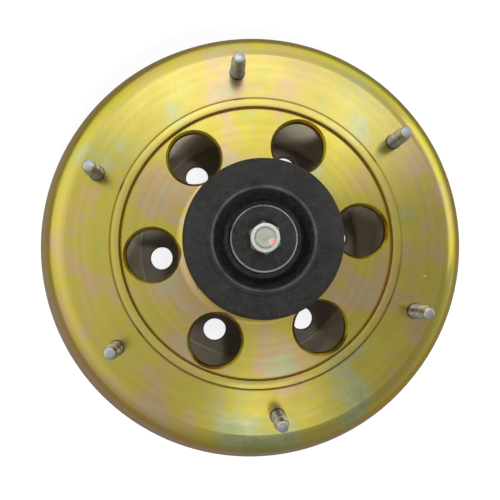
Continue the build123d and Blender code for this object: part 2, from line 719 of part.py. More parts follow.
def bearing_lock_nut():
    """Round slotted nut that sets the bearings on the sleeve."""
    nut = ring(BEARING_BORE_R, LOCK_NUT_R, LOCK_NUT_Z, LOCK_NUT_Z + LOCK_NUT_T)
    slot = Box(2 * LOCK_NUT_SLOT_DEPTH, LOCK_NUT_SLOT_WIDTH, LOCK_NUT_T)
    middle_z = LOCK_NUT_Z + LOCK_NUT_T / 2
    for cut in around(Pos(0, 0, middle_z) * slot, LOCK_NUT_SLOTS, LOCK_NUT_R):
        nut -= cut
    return nut


def grease_seals():
    """Seal rings pressed in the boss behind the rear bearing and before the front one."""
    outer_r = BEARING_OUTER_R - SEAT_FIT
    rear_low_z = SLEEVE_SHOULDER_Z - GREASE_SEAL_T
    rear = ring(SLEEVE_SHOULDER_R + GREASE_SEAL_GAP, outer_r, rear_low_z, SLEEVE_SHOULDER_Z)
    front_inner_r = LOCK_NUT_R + GREASE_SEAL_GAP
    front = ring(front_inner_r, outer_r, BEARING_FRONT_Z, BEARING_FRONT_Z + GREASE_SEAL_T)
    return [rear, front]


def spring_seat():
    """Flat washer that carries the spring's rear end."""
    return ring(SPRING_SEAT_BORE_R, SPRING_SEAT_R, SLEEVE_END_Z, SPRING_REAR_Z)


def engagement_spring():
    """Flat-wire coil spring with ground ends."""
    height = SPRING_FRONT_Z - SPRING_REAR_Z
    rise = height - SPRING_WIRE_HEIGHT
    pitch = rise / (SPRING_TURNS - 1)
    start_z = SPRING_REAR_Z + SPRING_WIRE_HEIGHT / 2 - pitch / 2
    path = Pos(0, 0, start_z) * Helix(pitch, pitch * SPRING_TURNS, SPRING_MEAN_R)
    start = Plane(origin=path @ 0, x_dir=(1, 0, 0), z_dir=path % 0)
    wire_section = start * Rectangle(SPRING_WIRE_WIDTH, SPRING_WIRE_HEIGHT)
    coil = sweep(wire_section, path=path, is_frenet=True)
    keep = rod(2 * SPRING_MEAN_R, SPRING_REAR_Z, SPRING_FRONT_Z)
    return (coil & keep).solids()


def node(name, shape):
    """Write one named piece of the assembly."""
    solids = shape if isinstance(shape, list) else shape.solids()
    export_step(Compound(children=list(solids)), "parts/" + name + ".step")


os.makedirs("parts", exist_ok=True)
node("fan_disc", fan_disc())
node("fan_studs", fan_studs())
node("drive_hub", drive_hub())
node("friction_lining", friction_lining())
node("spindle", spindle())
node("spindle_screws", spindle_screws())
node("inlet_seal", inlet_seal())
node("guide_pins", guide_pins())
node("spring_cap", spring_cap())
node("spindle_nut", spindle_nut())
node("engagement_spring", engagement_spring())
node("spring_seat", spring_seat())
node("release_piston", release_piston())
node("sliding_bushes", sliding_bushes())
node("piston_seal", piston_seal())
node("spindle_seal", spindle_seal())
node("inner_rings", inner_rings())
node("tab_washer", tab_washer())
node("bearing_lock_nut", bearing_lock_nut())
node("rollers", rollers())
node("roller_cages", roller_cages())
node("outer_rings", outer_rings())
node("grease_seals", grease_seals())
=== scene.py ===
import math

import bpy
from mathutils import Matrix, Vector


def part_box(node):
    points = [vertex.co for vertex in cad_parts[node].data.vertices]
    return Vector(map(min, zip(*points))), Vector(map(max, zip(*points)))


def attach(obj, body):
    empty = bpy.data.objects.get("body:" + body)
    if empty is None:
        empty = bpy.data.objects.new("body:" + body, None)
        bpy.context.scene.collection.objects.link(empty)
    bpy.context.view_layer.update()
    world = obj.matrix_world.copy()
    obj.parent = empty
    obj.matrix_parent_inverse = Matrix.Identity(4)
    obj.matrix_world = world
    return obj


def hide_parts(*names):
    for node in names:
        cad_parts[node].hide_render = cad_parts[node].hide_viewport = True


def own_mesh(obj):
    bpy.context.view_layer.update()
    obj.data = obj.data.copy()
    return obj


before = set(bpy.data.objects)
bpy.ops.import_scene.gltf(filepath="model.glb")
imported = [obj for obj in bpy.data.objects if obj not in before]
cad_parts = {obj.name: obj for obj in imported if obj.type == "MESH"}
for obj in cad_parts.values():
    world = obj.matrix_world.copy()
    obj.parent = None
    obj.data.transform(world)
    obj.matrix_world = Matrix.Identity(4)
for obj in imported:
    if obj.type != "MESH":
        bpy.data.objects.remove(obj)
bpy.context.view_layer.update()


# Drive hub: one iron casting with the bolting floor, the deep cup and the friction drum.
# The cup, the floor and the drum are machined, the web and its ribs keep the sand skin.
# It is bolted to the pulley behind it and carries everything else.
def surface(title, roughness, metallic):
    """A new material, its node tree and its Principled shader."""
    made = bpy.data.materials.new(title)
    made.use_nodes = True
    shader = made.node_tree.nodes["Principled BSDF"]
    shader.inputs["Roughness"].default_value = roughness
    shader.inputs["Metallic"].default_value = metallic
    return made, made.node_tree, shader


def effect(title, inputs, outputs):
    """An empty shader node group with named sockets, and its input and output nodes."""
    group = bpy.data.node_groups.new(title, "ShaderNodeTree")
    for name, kind, value in inputs:
        socket = group.interface.new_socket(name, in_out="INPUT", socket_type=kind)
        socket.default_value = value
    for name, kind in outputs:
        group.interface.new_socket(name, in_out="OUTPUT", socket_type=kind)
    return group, group.nodes.new("NodeGroupInput"), group.nodes.new("NodeGroupOutput")


def placed(tree, group, **values):
    """A node group put in a material, with the material's own values."""
    node = tree.nodes.new("ShaderNodeGroup")
    node.node_tree = group
    for name, value in values.items():
        node.inputs[name.replace("_", " ")].default_value = value
    return node


def math_node(tree, kind, first, second=None, clamp=False):
    """A Math node on two sockets or numbers, and its output."""
    node = tree.nodes.new("ShaderNodeMath")
    node.operation = kind
    node.use_clamp = clamp
    for n, value in enumerate((first, second)):
        if value is None:
            continue
        if isinstance(value, (int, float)):
            node.inputs[n].default_value = value
        else:
            tree.links.new(value, node.inputs[n])
    return node.outputs[0]


def scaled(tree, value, gain, lift, clamp=False):
    """A value times a gain, with a lift added."""
    return math_node(tree, "ADD", math_node(tree, "MULTIPLY", value, gain), lift, clamp)


def ramp(tree, factor, stops):
    """A Color Ramp on a factor, from (place, colour) stops, and its colour output."""
    node = tree.nodes.new("ShaderNodeValToRGB")
    band = node.color_ramp
    while len(band.elements) < len(stops):
        band.elements.new(0.5)
    for element, (place, colour) in zip(band.elements, stops):
        element.position = place
        element.color = (*colour, 1.0)
    tree.links.new(factor, node.inputs["Fac"])
    return node.outputs["Color"]


def blend(tree, kind, amount, under, over):
    """A colour Mix node, and its colour output."""
    node = tree.nodes.new("ShaderNodeMix")
    node.data_type = "RGBA"
    node.blend_type = kind
    for socket, value in ((node.inputs["Factor"], amount), (node.inputs[6], under), (node.inputs[7], over)):
        if isinstance(value, (int, float)):
            socket.default_value = value
        elif isinstance(value, tuple):
            socket.default_value = (*value, 1.0)
        else:
            tree.links.new(value, socket)
    return node.outputs[2]


def noise(tree, coordinates, scale, detail=3.0, rough=0.5):
    """A Noise Texture, and its factor output."""
    node = tree.nodes.new("ShaderNodeTexNoise")
    node.inputs["Detail"].default_value = detail
    node.inputs["Roughness"].default_value = rough
    if isinstance(scale, (int, float)):
        node.inputs["Scale"].default_value = scale
    else:
        tree.links.new(scale, node.inputs["Scale"])
    tree.links.new(coordinates, node.inputs["Vector"])
    return node.outputs["Fac"]


def own_place(tree):
    """Each point's place on the piece itself, in metres."""
    return tree.nodes.new("ShaderNodeTexCoord").outputs["Object"]


def round_axis(tree, place):
    """The x, y and z of a place, and its distance from the spin axis."""
    split = tree.nodes.new("ShaderNodeSeparateXYZ")
    tree.links.new(place, split.inputs[0])
    x, y, z = split.outputs
    squares = math_node(tree, "ADD", math_node(tree, "POWER", x, 2.0), math_node(tree, "POWER", y, 2.0))
    return x, y, z, math_node(tree, "SQRT", squares)


def levelness(tree):
    """How level a surface lies, from 0 on an upright wall to 1 on a flat face."""
    split = tree.nodes.new("ShaderNodeSeparateXYZ")
    tree.links.new(tree.nodes.new("ShaderNodeNewGeometry").outputs["Normal"], split.inputs[0])
    return math_node(tree, "ABSOLUTE", split.outputs["Z"])


def roughen(tree, shader, mask, gain, least):
    """Lets a mask raise a shader's roughness above its least value."""
    tree.links.new(scaled(tree, mask, gain, least), shader.inputs["Roughness"])


def bump(tree, shader, height, distance, strength):
    """Puts a height on a material's normal."""
    node = tree.nodes.new("ShaderNodeBump")
    node.inputs["Distance"].default_value = distance
    node.inputs["Strength"].default_value = strength
    tree.links.new(height, node.inputs["Height"])
    tree.links.new(node.outputs["Normal"], shader.inputs["Normal"])


def dress(name, made):
    """Gives a piece of the assembly its material."""
    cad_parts[name].data.materials[0] = made


# sand skin: lumps and pits of a casting, with a stain that gathers in patches
cast_skin, source, result = effect(
    "Cast Skin",
    [("Grain Size", "NodeSocketFloat", 900.0), ("Stain Size", "NodeSocketFloat", 35.0)],
    [("Height", "NodeSocketFloat"), ("Stain", "NodeSocketFloat")],
)
place = own_place(cast_skin)
lumps = noise(cast_skin, place, source.outputs["Grain Size"], 6.0, 0.6)
pits = cast_skin.nodes.new("ShaderNodeTexVoronoi")
cast_skin.links.new(place, pits.inputs["Vector"])
cast_skin.links.new(source.outputs["Grain Size"], pits.inputs["Scale"])
cast_skin.links.new(scaled(cast_skin, pits.outputs["Distance"], 0.5, lumps), result.inputs["Height"])
stains = noise(cast_skin, place, source.outputs["Stain Size"], 5.0, 0.6)
cast_skin.links.new(stains, result.inputs["Stain"])

# turning marks: fine rings round the spin axis, on faces and round walls alike
turning, source, result = effect(
    "Turning Marks",
    [("Rings per Metre", "NodeSocketFloat", 1500.0), ("Wander", "NodeSocketFloat", 0.0006)],
    [("Rings", "NodeSocketFloat"), ("Bands", "NodeSocketFloat")],
)
place = own_place(turning)
x, y, z, radius = round_axis(turning, place)
drift = math_node(turning, "MULTIPLY", noise(turning, place, 9.0, 1.0), source.outputs["Wander"])
travel = math_node(turning, "ADD", math_node(turning, "ADD", radius, z), drift)
for title, density, detail, rough in (
    ("Rings", source.outputs["Rings per Metre"], 3.0, 0.7),
    ("Bands", 160.0, 2.0, 0.5),
):
    line = turning.nodes.new("ShaderNodeCombineXYZ")
    turning.links.new(math_node(turning, "MULTIPLY", travel, density), line.inputs["X"])
    turning.links.new(noise(turning, line.outputs[0], 1.0, detail, rough), result.inputs[title])

# handling: dull smears and light dust, strongest on faces that look up
handling, source, result = effect(
    "Handling",
    [("Smear Size", "NodeSocketFloat", 28.0), ("Dust", "NodeSocketFloat", 0.2)],
    [("Smear", "NodeSocketFloat"), ("Dust", "NodeSocketFloat")],
)
place = own_place(handling)
smears = noise(handling, place, source.outputs["Smear Size"], 6.0, 0.62)
handling.links.new(scaled(handling, smears, 2.6, -0.8, True), result.inputs["Smear"])
facing = handling.nodes.new("ShaderNodeSeparateXYZ")
handling.links.new(handling.nodes.new("ShaderNodeNewGeometry").outputs["Normal"], facing.inputs[0])
upward = math_node(handling, "MAXIMUM", facing.outputs["Z"], 0.0)
upward = math_node(handling, "MULTIPLY", upward, source.outputs["Dust"])
specks = noise(handling, place, 420.0, 8.0, 0.75)
handling.links.new(math_node(handling, "MULTIPLY", upward, specks, True), result.inputs["Dust"])

CUP_WALL_R = 0.0935
CUP_FLOOR_Z = 0.0118
WHITE = (1.0, 1.0, 1.0)
iron, tree, shader = surface("machined and sand-cast iron", 0.5, 0.15)
skin = placed(tree, cast_skin, Grain_Size=700.0, Stain_Size=26.0)
marks = placed(tree, turning, Rings_per_Metre=1300.0)
dirt = placed(tree, handling, Smear_Size=40.0, Dust=0.25)
tone = ramp(tree, skin.outputs["Stain"], [
    (0.3, (0.52, 0.46, 0.35)),
    (0.55, (0.72, 0.66, 0.52)),
    (0.8, (0.80, 0.75, 0.61)),
])
bands = ramp(tree, marks.outputs["Bands"], [(0.3, (0.62, 0.6, 0.58)), (0.7, WHITE)])
tone = blend(tree, "MULTIPLY", 0.5, tone, bands)
tone = blend(tree, "MIX", dirt.outputs["Dust"], tone, (0.42, 0.38, 0.33))
# level faces are painted darker and cooler than the walls, as painted shade
level_shade = ramp(tree, levelness(tree), [(0.4, WHITE), (0.8, (0.36, 0.34, 0.37))])
tone = blend(tree, "MULTIPLY", 1.0, tone, level_shade)
# and outside the machined cup it is dark with scale
x, y, z, radius = round_axis(tree, own_place(tree))
above_floor = math_node(tree, "GREATER_THAN", z, CUP_FLOOR_Z)
in_cup = math_node(tree, "MULTIPLY", math_node(tree, "LESS_THAN", radius, CUP_WALL_R), above_floor)
tone = blend(tree, "MULTIPLY", math_node(tree, "SUBTRACT", 1.0, in_cup), tone, (0.30, 0.28, 0.27))
tree.links.new(tone, shader.inputs["Base Color"])
roughen(tree, shader, skin.outputs["Stain"], 0.3, 0.3)
lumps = math_node(tree, "MULTIPLY", skin.outputs["Height"], 0.6)
bump(tree, shader, scaled(tree, marks.outputs["Rings"], 0.5, lumps), 0.00018, 0.7)
dress("drive_hub", iron)


# Spindle: a turned steel bar with a flange at the rear and a thread at the front.
# It is zinc plated, screwed to the hub from behind, and feeds air to the piston.
# A dab of red paint on the thread's end and the nut marks that the nut is set.
def fade(tree, factor, stops):
    """A grey mask on a factor, from (place, strength) stops."""
    return ramp(tree, factor, [(place, (strength,) * 3) for place, strength in stops])


SPINDLE_R = 0.006
RED_DAB = (0.0044, -0.0030, 0.1655)
bright, tree, shader = surface("bright zinc plate", 0.28, 1.0)
marks = placed(tree, turning, Rings_per_Metre=2400.0)
dirt = placed(tree, handling, Smear_Size=160.0, Dust=0.05)
tone = ramp(tree, dirt.outputs["Smear"], [
    (0.0, (0.72, 0.72, 0.70)),
    (0.6, (0.62, 0.63, 0.59)),
    (1.0, (0.44, 0.45, 0.41)),
])
# the nut's hexagon, below its collar, is darker
place = own_place(tree)
x, y, z, radius = round_axis(tree, place)
hexagon_darkening = fade(tree, scaled(tree, z, 60.0, -9.0), [(0.0, 0.0), (0.2, 1.0), (0.73, 1.0), (0.78, 0.0)])
tone = blend(tree, "MULTIPLY", hexagon_darkening, tone, (0.22, 0.21, 0.19))
# the spindle's end is duller than the collar round it
spindle_end = math_node(tree, "LESS_THAN", radius, SPINDLE_R)
tone = blend(tree, "MULTIPLY", spindle_end, tone, (0.76, 0.78, 0.70))
# the red dab has an uneven edge
reach = tree.nodes.new("ShaderNodeVectorMath")
reach.operation = "DISTANCE"
reach.inputs[1].default_value = RED_DAB
tree.links.new(place, reach.inputs[0])
spread = scaled(tree, noise(tree, place, 260.0, 3.0), 0.006, reach.outputs["Value"])
paint = fade(tree, math_node(tree, "MULTIPLY", spread, 100.0), [(0.0, 1.0), (0.42, 1.0), (0.58, 0.0)])
tone = blend(tree, "MIX", paint, tone, (0.42, 0.13, 0.13))
tree.links.new(tone, shader.inputs["Base Color"])
roughen(tree, shader, dirt.outputs["Smear"], 0.22, 0.2)
tree.links.new(math_node(tree, "SUBTRACT", 0.75, paint, True), shader.inputs["Metallic"])
bump(tree, shader, marks.outputs["Rings"], 0.00004, 0.5)
dress("spindle", bright)


# Spindle screws and bearing lock nut: blackened steel, oiled.
# Four countersunk screws hold the spindle, and the slotted nut sets the bearings.
def smeared(tree, shader, mask, clean, dull):
    """Colours a material from its clean tone to its dull one, where a mask says."""
    tone = ramp(tree, mask, [(0.0, clean), (1.0, dull)])
    tree.links.new(tone, shader.inputs["Base Color"])
    return tone


black, tree, shader = surface("black oxide steel", 0.4, 0.8)
dirt = placed(tree, handling, Smear_Size=120.0, Dust=0.1)
smeared(tree, shader, dirt.outputs["Smear"], (0.035, 0.036, 0.04), (0.10, 0.095, 0.09))
roughen(tree, shader, dirt.outputs["Smear"], 0.25, 0.3)
skin = placed(tree, cast_skin, Grain_Size=1800.0)
bump(tree, shader, skin.outputs["Height"], 0.00003, 0.4)
dress("spindle_screws", black)
dress("bearing_lock_nut", black)


# Seals: moulded nitrile rubber rings at the air inlet, on the piston and spindle,
# and at both ends of the bearing housing.
rubber, tree, shader = surface("black nitrile rubber", 0.55, 0.0)
dirt = placed(tree, handling, Smear_Size=90.0, Dust=0.3)
tone = smeared(tree, shader, dirt.outputs["Smear"], (0.012, 0.012, 0.013), (0.03, 0.03, 0.031))
dusty = blend(tree, "MIX", dirt.outputs["Dust"], tone, (0.16, 0.15, 0.14))
tree.links.new(dusty, shader.inputs["Base Color"])
skin = placed(tree, cast_skin, Grain_Size=2600.0)
bump(tree, shader, skin.outputs["Height"], 0.00003, 0.5)
for name in ("inlet_seal", "piston_seal", "spindle_seal", "grease_seals"):
    dress(name, rubber)


# Release piston: a turned aluminium piston and bearing sleeve in one piece.
# Air under its head lifts it, the bearings and the disc off the friction drum.
light_alloy, tree, shader = surface("turned aluminium", 0.32, 1.0)
marks = placed(tree, turning, Rings_per_Metre=1800.0)
dirt = placed(tree, handling, Smear_Size=70.0, Dust=0.1)
smeared(tree, shader, dirt.outputs["Smear"], (0.74, 0.75, 0.76), (0.56, 0.56, 0.55))
roughen(tree, shader, marks.outputs["Rings"], 0.25, 0.2)
bump(tree, shader, marks.outputs["Rings"], 0.00006, 0.6)
dress("release_piston", light_alloy)


# Sliding bushes: bronze sleeves pressed in both ends of the piston's bore.
# They carry the piston on the spindle while it slides.
bronze, tree, shader = surface("bearing bronze", 0.35, 1.0)
marks = placed(tree, turning, Rings_per_Metre=2200.0)
dirt = placed(tree, handling, Smear_Size=140.0)
smeared(tree, shader, dirt.outputs["Smear"], (0.62, 0.40, 0.17), (0.42, 0.25, 0.11))
bump(tree, shader, marks.outputs["Rings"], 0.00004, 0.5)
dress("sliding_bushes", bronze)


# Bearings, guide pins, tab washer and spring seat: hardened steel, ground and oiled.
# The rings and rollers run between the sleeve and the disc's boss.
ground, tree, shader = surface("ground bearing steel", 0.2, 1.0)
marks = placed(tree, turning, Rings_per_Metre=4000.0)
dirt = placed(tree, handling, Smear_Size=110.0, Dust=0.05)
smeared(tree, shader, dirt.outputs["Smear"], (0.62, 0.62, 0.63), (0.45, 0.44, 0.42))
roughen(tree, shader, dirt.outputs["Smear"], 0.2, 0.14)
bump(tree, shader, marks.outputs["Rings"], 0.00002, 0.5)
for name in ("guide_pins", "inner_rings", "outer_rings", "rollers", "tab_washer", "spring_seat"):
    dress(name, ground)


# Roller cages: pressed from thin steel strip, with a window for each roller.
# They keep the rollers apart and go round with them.
pressed, tree, shader = surface("pressed cage steel", 0.42, 1.0)
dirt = placed(tree, handling, Smear_Size=200.0, Dust=0.1)
smeared(tree, shader, dirt.outputs["Smear"], (0.44, 0.44, 0.45), (0.30, 0.29, 0.27))
skin = placed(tree, cast_skin, Grain_Size=1500.0)
bump(tree, shader, skin.outputs["Height"], 0.00003, 0.4)
dress("roller_cages", pressed)


# Fan disc: one turned steel drum, yellow chromated over zinc and glossy.
# The film's thickness changes over it, which gives straw, peach, pink and pale green.
# It turns on the bearings, and the fan sits on its flat flange round the raised lip.
BOSS_R = 0.057
HOLED_FACE_R = 0.0935
LIP_FOOT_R = 0.095
yellow, tree, shader = surface("yellow chromate on zinc", 0.24, 1.0)
place = own_place(tree)
x, y, z, radius = round_axis(tree, place)
level = levelness(tree)
# patches of the film run outward from the middle, so they are read on a stretched place
spoke = tree.nodes.new("ShaderNodeCombineXYZ")
for axis, side in (("X", x), ("Y", y)):
    outward = math_node(tree, "DIVIDE", side, math_node(tree, "ADD", radius, 0.02))
    tree.links.new(outward, spoke.inputs[axis])
tree.links.new(math_node(tree, "MULTIPLY", radius, 7.0), spoke.inputs["Z"])
patches = noise(tree, spoke.outputs[0], 2.4, 3.0, 0.55)
clouds = math_node(tree, "MULTIPLY", noise(tree, place, 30.0, 4.0, 0.6), 0.6)
film = scaled(tree, patches, 0.8, clouds)
# finer runs follow the way the bath drained
drain = tree.nodes.new("ShaderNodeVectorMath")
drain.operation = "MULTIPLY"
drain.inputs[1].default_value = (95.0, 30.0, 60.0)
tree.links.new(place, drain.inputs[0])
runs = math_node(tree, "SUBTRACT", noise(tree, drain.outputs[0], 1.0, 4.0, 0.6), 0.5)
film = math_node(tree, "SUBTRACT", scaled(tree, runs, 0.30, film), 0.2)
film = scaled(tree, math_node(tree, "LESS_THAN", radius, LIP_FOOT_R), 0.05, film)
# the flange's tint is shifted toward peach at the top, as painted highlight where the top light falls,
# and toward green at the bottom, and the face within the lip is shifted the other way round
ends = math_node(tree, "DIVIDE", y, math_node(tree, "ADD", radius, 0.001))
ends = math_node(tree, "POWER", ends, 5.0)
on_flange = math_node(tree, "GREATER_THAN", radius, HOLED_FACE_R)
film = scaled(tree, ends, scaled(tree, on_flange, 0.13, -0.06), film)
tint = ramp(tree, film, [
    (0.24, (0.62, 0.70, 0.30)),
    (0.33, (0.78, 0.79, 0.40)),
    (0.41, (0.85, 0.77, 0.20)),
    (0.50, (0.93, 0.78, 0.13)),
    (0.56, (0.94, 0.74, 0.22)),
    (0.62, (0.95, 0.68, 0.34)),
    (0.69, (0.89, 0.73, 0.40)),
    (0.76, (0.78, 0.78, 0.42)),
])
# the flange is painted paler toward the top right, where the top light falls, as painted highlight
walls = fade(tree, level, [(0.4, 1.0), (0.97, 0.0)])
toward_top_light = scaled(tree, y, 3.0, math_node(tree, "MULTIPLY", x, 1.2))
painted_highlight = fade(tree, toward_top_light, [(0.05, 0.0), (0.45, 0.22)])
painted_highlight = math_node(tree, "MULTIPLY", painted_highlight, math_node(tree, "SUBTRACT", 1.0, walls))
painted_highlight = math_node(tree, "MULTIPLY", painted_highlight, on_flange)
tint = blend(tree, "MIX", painted_highlight, tint, (0.92, 0.80, 0.56))
marks = placed(tree, turning, Rings_per_Metre=1500.0)
dirt = placed(tree, handling, Smear_Size=22.0, Dust=0.04)
bands = ramp(tree, marks.outputs["Bands"], [(0.3, (0.78, 0.76, 0.66)), (0.7, WHITE)])
tint = blend(tree, "MULTIPLY", 0.35, tint, bands)
# the lip is brighter and yellower, and dark brown is painted along both of its walls, as painted shade in
# the corners
across_lip = scaled(tree, radius, 60.0, -5.4)
lip_top = fade(tree, across_lip, [(0.26, 0.0), (0.32, 1.0), (0.64, 1.0), (0.70, 0.0)])
tint = blend(tree, "MIX", math_node(tree, "MULTIPLY", lip_top, 0.5), tint, (1.0, 0.83, 0.20))
lip_corner_shade = ramp(tree, across_lip, [
    (0.20, WHITE),
    (0.265, (0.52, 0.44, 0.26)),
    (0.31, (0.56, 0.46, 0.28)),
    (0.365, WHITE),
    (0.61, WHITE),
    (0.66, (0.46, 0.38, 0.28)),
    (0.71, (0.42, 0.34, 0.24)),
    (0.78, WHITE),
])
tint = blend(tree, "MULTIPLY", 1.0, tint, lip_corner_shade)
# the skirt and the roll's foot are painted browner and darker than the flat flange, as painted shade
steep_face_shade = ramp(tree, level, [(0.3, (0.86, 0.76, 0.52)), (0.6, (0.88, 0.86, 0.60)), (0.97, WHITE)])
tint = blend(tree, "MULTIPLY", 1.0, tint, steep_face_shade)
# the rolled edge is painted a deeper, darker yellow toward the top light, as painted shade
rolled = fade(tree, scaled(tree, radius, 50.0, -6.5), [(0.2, 0.0), (0.45, 1.0)])
rolled = math_node(tree, "MULTIPLY", rolled, fade(tree, toward_top_light, [(0.0, 0.0), (0.2, 1.0)]))
tint = blend(tree, "MULTIPLY", rolled, tint, (0.84, 0.90, 0.45))
# and the steep faces toward the bottom are painted darker still, as painted shade
painted_low_shade = fade(tree, scaled(tree, y, -3.2, 0.2), [(0.3, 0.0), (0.62, 1.0)])
tint = blend(tree, "MULTIPLY", math_node(tree, "MULTIPLY", painted_low_shade, walls), tint, (0.62, 0.52, 0.44))
# the bevels and walls of the access holes are painted a darker olive, as painted shade
among_holes = math_node(tree, "MULTIPLY", math_node(tree, "LESS_THAN", radius, HOLED_FACE_R),
                        math_node(tree, "GREATER_THAN", radius, BOSS_R))
bevel = math_node(tree, "MULTIPLY", math_node(tree, "LESS_THAN", level, 0.9), among_holes)
tint = blend(tree, "MULTIPLY", bevel, tint, (0.56, 0.54, 0.22))
tree.links.new(tint, shader.inputs["Base Color"])
roughen(tree, shader, dirt.outputs["Smear"], 0.10, 0.18)
# the turned surface stretches its reflections across the rings
tangent = tree.nodes.new("ShaderNodeTangent")
tangent.direction_type = "RADIAL"
tangent.axis = "Z"
tree.links.new(tangent.outputs[0], shader.inputs["Tangent"])
shader.inputs["Anisotropic"].default_value = 0.6
shader.inputs["Anisotropic Rotation"].default_value = 0.25
bump(tree, shader, marks.outputs["Rings"], 0.00004, 0.5)
dress("fan_disc", yellow)


def outline(corners):
    """A closed (radius, height) outline in metres, from (radius, height, round) corners in mm."""
    points = []
    for n, (radius, height, curve) in enumerate(corners):
        corner = Vector((radius, height))
        if not curve:
            points.append(corner / 1000)
            continue
        back = (Vector(corners[n - 1][:2]) - corner).normalized()
        ahead = (Vector(corners[(n + 1) % len(corners)][:2]) - corner).normalized()
        half = back.angle(ahead) / 2
        centre = corner + (back + ahead).normalized() * curve / math.sin(half)
        first = corner + back * curve / math.tan(half) - centre
        last = corner + ahead * curve / math.tan(half) - centre
        points += [(centre + first.slerp(last, step / 6) * curve) / 1000 for step in range(7)]
    return points


def piece(title, points, faces, crease, finish):
    """A smooth piece whose edges stay sharp from a crease angle, in its finish."""
    mesh = bpy.data.meshes.new(title)
    mesh.from_pydata(points, [], faces)
    mesh.shade_smooth()
    mesh.set_sharp_from_angle(angle=math.radians(crease))
    mesh.materials.append(finish)
    made = bpy.data.objects.new(title, mesh)
    bpy.context.scene.collection.objects.link(made)
    return made


def turned(title, section, sides, finish, middle=(0.0, 0.0)):
    """A ring round an upright axis, from the closed outline that section gives for an angle."""
    points, faces = [], []
    for side in range(sides):
        angle = 2 * math.pi * side / sides
        east, north = math.cos(angle), math.sin(angle)
        points += [(middle[0] + radius * east, middle[1] + radius * north, height)
                   for radius, height in section(angle)]
    row = len(points) // sides
    for side in range(sides):
        for n in range(row):
            a, b = side * row + n, side * row + (n + 1) % row
            faces.append((a, (a + row) % len(points), (b + row) % len(points), b))
    return piece(title, points, faces, 32, finish)


# the lip's rounded crest stands over the solid's lip, and a wide bevel lines each access hole
FACE = 98.0
LIP_INNER, LIP_OUTER, LIP_HEIGHT, LIP_ROUND = 94.6, 101.65, 3.0, 1.2
crest = outline([
    (LIP_INNER, FACE - 0.1, 0),
    (LIP_OUTER, FACE - 0.1, 0),
    (LIP_OUTER, FACE + LIP_HEIGHT, LIP_ROUND),
    (LIP_INNER, FACE + LIP_HEIGHT, LIP_ROUND),
])
HOLE_CIRCLE = 0.0736
HOLE_THROAT, HOLE_WALL, HOLE_MOUTH = 18.0, 18.97, 19.8
bevel_line = outline([
    (HOLE_THROAT, FACE - 7.8, 0),
    (HOLE_WALL, FACE - 7.8, 0),
    (HOLE_WALL, FACE - 1.0, 0),
    (HOLE_MOUTH, FACE + 0.01, 0),
    (HOLE_THROAT, FACE - 1.8, 0.8),
])
rims = [turned("pilot_lip_crest", lambda angle: crest, 240, yellow)]
for hole in range(6):
    bearing = math.radians(60 * hole)
    middle = (HOLE_CIRCLE * math.cos(bearing), HOLE_CIRCLE * math.sin(bearing))
    rims.append(turned(f"access_hole_bevel_{hole + 1}", lambda angle: bevel_line, 72, yellow, middle))
for rim in rims:
    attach(rim, "fan_drum")


# Fan studs: six M10 zinc plated studs with a plain leading point, pressed in from behind.
# The thread runs from the flange to the point, so each stud is cut with a real thread.
STUD_CIRCLE = 0.12065
STUD_PITCH = 0.0015
THREAD_CREST = 0.005
THREAD_ROOT = 0.0041
THREAD_FADE = 0.0012
HEAD_R = 0.008
HEAD_HEIGHT = 0.0035
SHANK_R = 0.0056
POINT_R = 0.0039
STUD_SIDES = 30
stud_low, stud_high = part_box("fan_studs")
flange_z = stud_high.z - 0.032
thread_top = stud_high.z - 0.0076


def thread_radius(height, around):
    """Radius of the thread at a height and an angle, fading out at both ends."""
    phase = (height / STUD_PITCH - around) % 1.0
    ridge = min(1.0, max(0.0, 1.35 - abs(phase - 0.5) * 2.7))
    from_end = min(max(0.0, height - flange_z), max(0.0, thread_top - height))
    fading = min(1.0, from_end / THREAD_FADE)
    return THREAD_ROOT + (THREAD_CREST - THREAD_ROOT) * ridge * max(0.25, fading)


# each row is a height and its radius, and the threaded rows have none
rows = [
    (stud_low.z, HEAD_R - 0.0004),
    (stud_low.z + 0.0004, HEAD_R),
    (stud_low.z + HEAD_HEIGHT, HEAD_R),
    (stud_low.z + HEAD_HEIGHT, SHANK_R),
    (flange_z, SHANK_R),
]
steps = round((thread_top - flange_z) / STUD_PITCH * 6)
rows += [(flange_z + (thread_top - flange_z) * step / steps, None) for step in range(steps + 1)]
rows += [
    (thread_top + 0.0004, POINT_R + 0.00005),
    (stud_high.z - 0.0009, POINT_R),
    (stud_high.z - 0.0002, POINT_R - 0.0005),
    (stud_high.z, POINT_R - 0.0011),
]
points, faces = [], []
for stud in range(6):
    bearing = math.radians(30 + 60 * stud)
    middle = Vector((STUD_CIRCLE * math.cos(bearing), STUD_CIRCLE * math.sin(bearing), 0))
    first = len(points)
    for height, size in rows:
        for side in range(STUD_SIDES):
            angle = 2 * math.pi * side / STUD_SIDES
            reach = size or thread_radius(height, side / STUD_SIDES)
            points.append(middle + Vector((reach * math.cos(angle), reach * math.sin(angle), height)))
    last = len(points) - STUD_SIDES
    for low in range(first, last, STUD_SIDES):
        for side in range(STUD_SIDES):
            a, b = low + side, low + (side + 1) % STUD_SIDES
            faces.append((a, b, b + STUD_SIDES, a + STUD_SIDES))
    faces.append(tuple(first + side for side in reversed(range(STUD_SIDES))))
    faces.append(tuple(last + side for side in range(STUD_SIDES)))

plate, tree, shader = surface("zinc plated stud", 0.3, 1.0)
dirt = placed(tree, handling, Smear_Size=180.0, Dust=0.1)
x, y, z, radius = round_axis(tree, own_place(tree))
